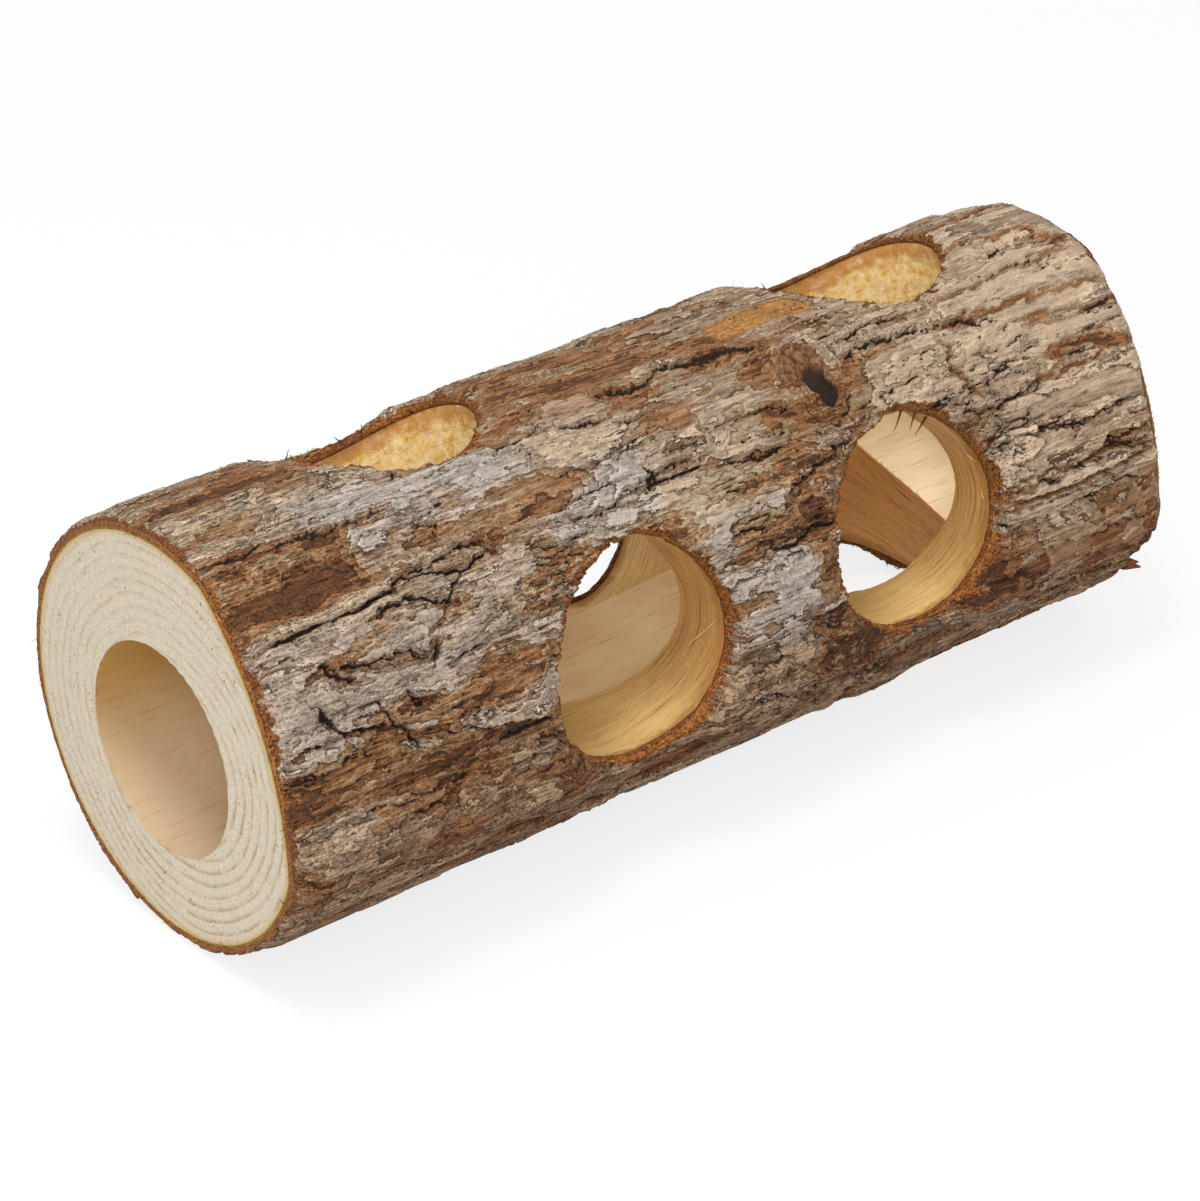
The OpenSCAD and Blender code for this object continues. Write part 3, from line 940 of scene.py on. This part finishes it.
def bored_log():
    """The wood with its tunnel and side holes cut out, as a mesh in metres."""
    blank = add_object("log_blank", make_mesh("log_blank", *log_blank()))
    reach = HALF + PAST_END
    parts = {"bore": tube(BORE_MIDDLE - reach * BORE_AXIS, BORE_AXIS, BORE_R, 2 * reach, 150, 276)}
    for name in HOLES:
        parts[name] = tube(*hole_axis(name), HOLE_R, HOLE_CUT, 206, 70)
    used = [blank]
    for name, part in parts.items():
        cut = blank.modifiers.new(name, "BOOLEAN")
        cut.operation = "DIFFERENCE"
        cut.solver = "MANIFOLD"
        cut.object = add_object(name + "_cutter", make_mesh(name + "_cutter", *part))
        used.append(cut.object)
    bpy.context.view_layer.update()
    done = blank.evaluated_get(bpy.context.evaluated_depsgraph_get())
    mesh = bpy.data.meshes.new_from_object(done)
    for made in used:
        old = made.data
        bpy.data.objects.remove(made)
        bpy.data.meshes.remove(old)
    mesh.name = "wood_core.turned"
    return mesh


TOUCHING = 0.06


def wood_core():
    """The wood with drill, saw and tunnel marks, and masks of its surfaces."""
    mesh = bored_log()
    points = np.zeros(len(mesh.vertices) * 3, np.float32)
    mesh.vertices.foreach_get("co", points)
    points = points.reshape(-1, 3).astype(np.float64) / MM
    x, y, z = points.T
    on_end = np.abs(np.abs(x) - HALF) < 0.01
    far, _, out = from_axis(points, BORE_MIDDLE, BORE_AXIS)
    on_bore = np.abs(far - BORE_R) < TOUCHING
    turn = np.arctan2(out[:, 2], -out[:, 1])
    moved = points.copy()

    # Lengthwise grooves in the tunnel
    groove = 0.09 * fbm(x, turn, 40, 1.6, 51) + 0.06 * fbm(x, turn, 12, 0.8, 52)
    moved += np.where(on_bore & ~on_end, groove, 0)[:, None] * out

    # Fibrous walls of the side holes
    ring = np.hypot(y - PITH[1], z - PITH[2])
    rough = 0.06 * noise(x / 6, y / 6, z / 6 + ring / 0.7, 53)
    rough += 0.10 * noise(x / 3, y / 0.8, z / 0.8, 54)
    on_hole = np.zeros(len(points), bool)
    cross, deep, sunny, low = np.zeros((4, len(points)))
    for name in HOLES:
        gap, reach, away = from_axis(points, *hole_axis(name))
        here = (np.abs(gap - HOLE_R) < TOUCHING) & (reach > 1)
        stop = (gap < HOLE_R + TOUCHING) & (np.abs(reach) < TOUCHING) & ~on_bore
        on_hole |= here | stop
        moved += np.where(here & ~on_bore, rough, 0)[:, None] * away
        share = 0.3 if name == "back" else 1.0
        cross = np.where(here, share * smooth(0.3, 1.0, np.abs(away[:, 0])), cross)
        # The bottom hole's wall is marked for painted shade
        deep = np.where(here & (name == "bottom"), 1.0, deep)
        sunny = np.where(here & name.startswith("top"), 1.0, sunny)
        low = np.where(here & name.startswith("front"), smooth(0.0, -0.8, away[:, 2]), low)

    # Saw marks on the ends
    saw = 0.05 * np.sin(points @ np.array([0, 2.2, 1.1]) + 4 * noise(*(points / 30).T, 55))
    saw += 0.04 * noise(*(points / 0.7).T, 56)
    moved[:, 0] -= np.where(on_end, np.sign(x) * (0.06 + saw), 0)
    mesh.vertices.foreach_set("co", (moved * MM).astype(np.float32).ravel())
    mesh.update()
    mesh.polygons.foreach_set("use_smooth", np.ones(len(mesh.polygons), bool))
    mesh.set_sharp_from_angle(angle=math.radians(38))

    angle, r = polar(points)
    edge = body_r(angle) - r
    masks = {
        "bore": on_bore & ~on_end,
        "hole": on_hole & ~on_end,
        "cross": cross,
        "deep": deep,
        "sunny": sunny,
        "low": low,
        "lip": smooth(4.0 + 3.0 * sunny, 0.2, edge),
        # Lower part of the tunnel, which the paint makes paler as painted light
        "floor": smooth(0.5, -0.9, np.sin(turn)),
        "rind": smooth(1.0, 0.2, edge),
    }
    for name, values in masks.items():
        add_mask(mesh, name, values)
    mesh.materials.clear()
    add_piece(mesh, "sapwood", "wood_core")


# Inner bark

BAST_BOTTOM = 0.03
BAST_INSET = 0.15


def bast_pieces():
    """The inner bark in four lengthwise parts, torn and fibrous."""
    step = 2
    x, angle = GRID_X[::step, ::step], GRID_A[::step, ::step]
    strands = fbm(x, angle, 8, 0.9, 61, 3, 0.6)
    torn = FROM_HOLE[::step, ::step] - 0.15 - 0.25 * strands
    height = BAST + 0.16 * strands
    height = np.where(torn < 1.5, height + 0.15 * fbm(x, angle, 2.0, 0.8, 62), height)
    x = np.clip(x, -HALF + BAST_INSET, HALF - BAST_INSET)
    x, angle, keep = snap(x, angle, torn, step)
    upper, lower = place(x, angle, height), place(x, angle, BAST_BOTTOM)
    masks = {"edge": smooth(0.7, 0.0, FROM_END[::step, ::step])}
    rows = len(x)
    for number in range(4):
        part = keep.copy()
        part[: number * rows // 4] = False
        part[(number + 1) * rows // 4:] = False
        mesh = skin_piece(f"inner_bark.fibres_{number + 1}", part, upper, lower, masks)
        add_piece(mesh, "inner_bark", "inner_bark")


def snap(x, angle, field, step=1):
    """Moves the grid points beside a border onto it. The border is where field is 0."""
    middle = (field + np.roll(field, -1, 0)) / 2
    middle[:, :-1] = (middle[:, :-1] + middle[:, 1:]) / 2
    keep = middle > 0
    keep[:, -1] = False
    around = [shifted(keep, rows, columns, False) for rows in (0, 1) for columns in (0, 1)]
    on_border = np.logical_or.reduce(around) & ~np.logical_and.reduce(around)
    on_border[:, 0] = on_border[:, -1] = False
    slope_x, slope_s = slopes(field, step)
    steep = np.maximum(slope_x**2 + slope_s**2, 0.2)
    limit = 0.9 * CELL * step
    move_x = np.clip(field * slope_x / steep, -limit, limit)
    move_s = np.clip(field * slope_s / steep, -limit, limit)
    return np.where(on_border, x - move_x, x), np.where(on_border, angle - move_s / ROUND_R, angle), keep


# Threads of torn bark and wood


def threads(name, roots, ways, lengths, widths, bends):
    """Thin tapered threads as one mesh. Each starts at a root, points along a way and bends off it."""
    ways = ways / np.linalg.norm(ways, axis=1)[:, None]
    side = np.cross(ways, bends + np.array([0.3, 0.2, 0.1]))
    side /= np.linalg.norm(side, axis=1)[:, None]
    other = np.cross(ways, side)
    far = np.array([0, 0.3, 0.65, 1.0])
    reach = lengths[:, None] * far
    middle = roots[:, None] + reach[..., None] * ways[:, None] + (reach * far)[..., None] * bends[:, None]
    thick = widths[:, None] * (1 - 0.85 * far)
    corners = np.stack([side, other, -side, -other], 1)
    verts = middle[:, :, None] + thick[..., None, None] * corners[:, None]
    index = np.arange(verts.size // 3).reshape(verts.shape[:3])
    caps = [index[:, 0, ::-1], index[:, -1]]
    return make_mesh(name, verts.reshape(-1, 3), np.concatenate([bands(index)] + caps))


def rim_points(name, turn, height, wider):
    """Points round a hole at a height above the wood, and the ways outwards, off its axis and round it."""
    start, way = hole_axis(name)
    along = np.array([1.0, 0, 0])
    along = along - (along @ way) * way
    along /= np.linalg.norm(along)
    across = np.cross(way, along)
    off = np.cos(turn)[:, None] * along + np.sin(turn)[:, None] * across
    round_way = -np.sin(turn)[:, None] * along + np.cos(turn)[:, None] * across
    foot = start + (HOLE_R + wider)[:, None] * off
    far = np.full(len(turn), 30.0)
    for _ in range(15):
        at = foot + far[:, None] * way
        angle, r = polar(at)
        slope = np.maximum((outward(angle) * way).sum(1), 0.4)
        far += (body_r(angle) + height - r) / slope
    return foot + far[:, None] * way, way, off, round_way


def skin_height(points):
    """Height of the bark above the wood at the places of points."""
    angle, _ = polar(points)
    row = np.round(angle / (2 * math.pi) * ROWS).astype(int) % ROWS
    column = np.clip(np.round((points[:, 0] + HALF) / STEP_X).astype(int), 0, COLUMNS - 1)
    return height[row, column]


def fuzz(name, at, ways, dice):
    """A piece of short threads, of which a few are long."""
    count = len(at)
    lengths = 0.2 + 0.4 * dice.random(count) ** 2 + 1.2 * (dice.random(count) > 0.985)
    at[:, 2] = np.maximum(at[:, 2], 0.8)
    widths = dice.uniform(0.05, 0.13, count)
    mesh = threads(name, at, ways, lengths, widths, dice.normal(0, 0.3, (count, 3)))
    add_mask(mesh, "edge", np.repeat(dice.random(count) ** 3, 16))
    add_piece(mesh, "inner_bark", "inner_bark")


def rim_threads(name, count, dice):
    """The fuzz of torn inner bark round a side hole, on its wall and on its lip."""
    turn = dice.uniform(0, 2 * math.pi, count)
    lip = dice.random(count) < 0.06
    wider = np.where(lip, dice.uniform(0.4, 1.0, count), dice.uniform(0.1, 0.4, count))
    at, way, off, round_way = rim_points(name, turn, 2.0, wider + 0.6)
    share = np.where(lip, 0.97, dice.uniform(0.05, 0.95, count))
    at, way, off, round_way = rim_points(name, turn, share * skin_height(at), wider)
    ways = dice.normal(0.1, 0.25, count)[:, None] * way - dice.uniform(0.1, 0.9, count)[:, None] * off
    fuzz(f"inner_bark.fuzz_{name}", at, ways + dice.normal(0, 0.8, count)[:, None] * round_way, dice)


def end_threads(name, x, count, dice):
    """The fuzz of torn inner bark round a sawn end."""
    turn = dice.uniform(0, 2 * math.pi, count)
    out = outward(turn)
    r = body_r(turn) + dice.uniform(0.05, 0.85, count) * skin_height(out + (x, 0, AXIS_Z))
    at = r[:, None] * out + (x - math.copysign(0.25, x), 0, AXIS_Z)
    ways = dice.normal(0, 0.2, count)[:, None] * out
    ways += dice.normal(0, 0.5, count)[:, None] * np.cross(out, [1, 0, 0])
    ways[:, 0] += math.copysign(0.4, x) * dice.random(count)
    fuzz(name, at, ways, dice)


# Splinters: hole, degrees round it, depth below the rim, inwards, outwards and round, length, width
WOOD_SPLINTERS = (
    ("front_1", 336, 9.0, 0.12, 1.0, 0.9, 10.0, 0.17),
    ("front_1", 226, 1.5, 0.25, -1.0, 0.35, 9.5, 0.18),
    ("front_1", 222, 1.0, 0.45, -0.4, 0.9, 6.5, 0.15),
    ("front_1", 238, 0.6, 0.3, -0.6, 1.0, 5.0, 0.14),
    ("front_2", 14, 1.0, 0.6, 0.2, 0.8, 4.0, 0.2),
    ("front_2", 352, 1.5, 0.5, 0.3, 0.9, 3.5, 0.2),
    ("top_1", 232, 0.5, 0.8, 0.4, 0.5, 4.2, 0.2),
)
BARK_AND_SHADOW_SPLINTERS = (
    # The three on front_2 are wood splinters in the dark inner-bark paint, standing in for splinter shadows
    # as painted shade
    ("front_2", 62, 4.0, 0.82, -0.5, -0.6, 6.5, 0.30),
    ("front_2", 52, 4.5, 0.82, -0.5, -0.5, 4.6, 0.26),
    ("front_2", 45, 4.5, 0.8, -0.5, -0.4, 4.0, 0.28),
    ("top_1", 122, -2.0, 0.1, 0.4, 1.0, 5.5, 0.45),
    ("top_1", 141, -1.8, 0.1, 0.45, 1.0, 5.0, 0.42),
    ("top_1", 96, -1.2, 0.4, 0.9, 0.5, 3.0, 0.35),
    ("top_1", 103, -1.2, 0.3, 1.0, -0.3, 2.4, 0.30),
    ("top_1", 86, -1.2, 0.3, 0.9, 0.6, 2.0, 0.26),
    ("top_1", 68, -1.0, 0.4, 1.0, 0.6, 2.4, 0.28),
    ("top_1", 58, -1.0, 0.5, 0.8, -0.5, 2.0, 0.24),
    ("top_2", 92, -0.8, 0.3, 0.8, 0.4, 2.0, 0.24),
)


def splinters(name, rows, dice):
    """Splinters at the rims of the side holes as one mesh."""
    at, ways = [], []
    for hole, degrees, depth, inward, out, round_share, _, _ in rows:
        turn = np.array([math.radians(degrees)])
        point, way, off, round_way = rim_points(hole, turn, 0.0, np.array([0.1]))
        at.append(point[0] - depth * way)
        ways.append(out * way - inward * off[0] + round_share * round_way[0])
    sizes = np.array([row[6:] for row in rows])
    bends = dice.normal(0, 0.12, (len(rows), 3))
    mesh = threads(name, np.array(at), np.array(ways), sizes[:, 0], sizes[:, 1], bends)
    add_mask(mesh, "hole", np.ones(len(mesh.vertices)))
    return mesh


# Loose chip: place along the log, degrees round it, height, way, length, width
CHIP = (
    (95.0, -34.0, 2.2, (1.0, -0.45, -0.25), 2.6, 1.3),
    (95.8, -36.0, 2.4, (1.0, -0.50, -0.35), 3.0, 1.4),
    (96.4, -38.0, 2.0, (1.0, -0.40, -0.45), 2.4, 1.2),
)


def loose_chip(name):
    """A chip of inner bark that comes off at the far low corner."""
    x, degrees, above, ways, lengths, widths = (np.array(column) for column in zip(*CHIP))
    return threads(name, place(x, np.radians(degrees), above), ways, lengths, widths, ways * 0.1)


# Camera

EYE = Vector((-0.4175, -0.4900, 0.3837))
LOOK = Vector((0.5626, 0.6710, -0.4830)).normalized()
RIGHT = Vector((0.7663, -0.6425, 0.0)).normalized()

camera = add_object("camera", bpy.data.cameras.new("camera"))
bpy.context.scene.camera = camera
camera.data.lens = 123.7
camera.data.sensor_width = 36
camera.data.clip_start = 0.01
camera.data.clip_end = 20
turned = Matrix((RIGHT, RIGHT.cross(LOOK), -LOOK)).transposed().to_4x4()
camera.matrix_world = Matrix.Translation(EYE) @ turned

# Light

bpy.context.scene.view_settings.view_transform = "Standard"


def seen_directly(tree):
    """1 for rays that show a thing as it is, and 0 for those that light others."""
    path = tree.nodes.new("ShaderNodeLightPath").outputs
    total = path["Is Camera Ray"]
    for kind in ("Is Glossy Ray", "Is Transmission Ray"):
        total = add_node(tree, "ShaderNodeMath", {0: total, 1: path[kind]}, operation="MAXIMUM")
    return total


SKY_LIGHT = 0.6

world = bpy.data.worlds.new("studio")
bpy.context.scene.world = world
world.use_nodes = True
sky = world.node_tree.nodes["Background"]
sky.inputs["Color"].default_value = (1, 1, 1, 1)
seen = {"Value": seen_directly(world.node_tree), "To Min": SKY_LIGHT, "To Max": 1.0}
world.node_tree.links.new(add_node(world.node_tree, "ShaderNodeMapRange", seen), sky.inputs["Strength"])


def softbox(name, at, size, watts):
    lamp = bpy.data.lights.new(name, "AREA")
    lamp.size = size
    lamp.energy = watts
    made = add_object(name, lamp)
    made.location = at
    made.rotation_euler = (Vector((0, 0, 0.04)) - made.location).to_track_quat("-Z", "Y").to_euler()


softbox("key_light", (-0.30, -0.10, 1.15), 0.35, 6.2)
softbox("fill_light", (-0.80, -0.70, 0.70), 0.6, 6.4)

FLOOR_HALF = 4000
FLOOR_GLOW = 0.8

corners = [(x * FLOOR_HALF, y * FLOOR_HALF, 0) for x, y in ((-1, -1), (1, -1), (1, 1), (-1, 1))]
floor = add_object("floor", make_mesh("floor", corners, [(0, 1, 2, 3)]))
white = bpy.data.materials.new("white_floor")
white.use_nodes = True
tree = white.node_tree
tree.nodes.clear()
paper = add_node(tree, "ShaderNodeBsdfDiffuse", {"Color": (0.9, 0.9, 0.9, 1)})
glow = add_node(tree, "ShaderNodeEmission", {})
share = add_node(tree, "ShaderNodeMath", {0: seen_directly(tree), 1: FLOOR_GLOW}, operation="MULTIPLY")
blend = add_node(tree, "ShaderNodeMixShader", {"Fac": share, 1: paper, 2: glow})
tree.links.new(blend, tree.nodes.new("ShaderNodeOutputMaterial").inputs["Surface"])
floor.data.materials.append(white)

# Pieces

SKIN_BOTTOM = 0.35
SKIN_INSET = 0.1
SEED = 7
HOLE_THREADS = 1500
NEAR_THREADS = 1800
FAR_THREADS = 1200

MATERIALS = {
    "outer_bark": bark_paint(),
    "inner_bark": bast_paint(),
    "sapwood": wood_paint(),
    "dead_knot": knot_paint(),
}
skin_x, skin_a, kept = snap(GRID_X, GRID_A, edge)
skin_x = np.clip(skin_x, -HALF + SKIN_INSET, HALF - SKIN_INSET)
skin_top = place(skin_x, skin_a, height)
skin_bottom = place(skin_x, skin_a, SKIN_BOTTOM)
for number, name in enumerate(NAMES):
    cells = (owner == number) & kept
    slot = "dead_knot" if name == "knot_stub" else "outer_bark"
    add_piece(skin_piece(name + ".grown", cells, skin_top, skin_bottom, MASKS), slot, name)
bast_pieces()
wood_core()
dice = np.random.default_rng(SEED)
for name in HOLES:
    rim_threads(name, HOLE_THREADS, dice)
end_threads("inner_bark.fuzz_near", -HALF, NEAR_THREADS, dice)
end_threads("inner_bark.fuzz_far", HALF, FAR_THREADS, dice)
add_piece(splinters("wood_core.splinters", WOOD_SPLINTERS, dice), "sapwood", "wood_core")
add_piece(splinters("inner_bark.splinters", BARK_AND_SHADOW_SPLINTERS, dice), "inner_bark", "inner_bark")
add_piece(loose_chip("inner_bark.chip"), "inner_bark", "inner_bark")
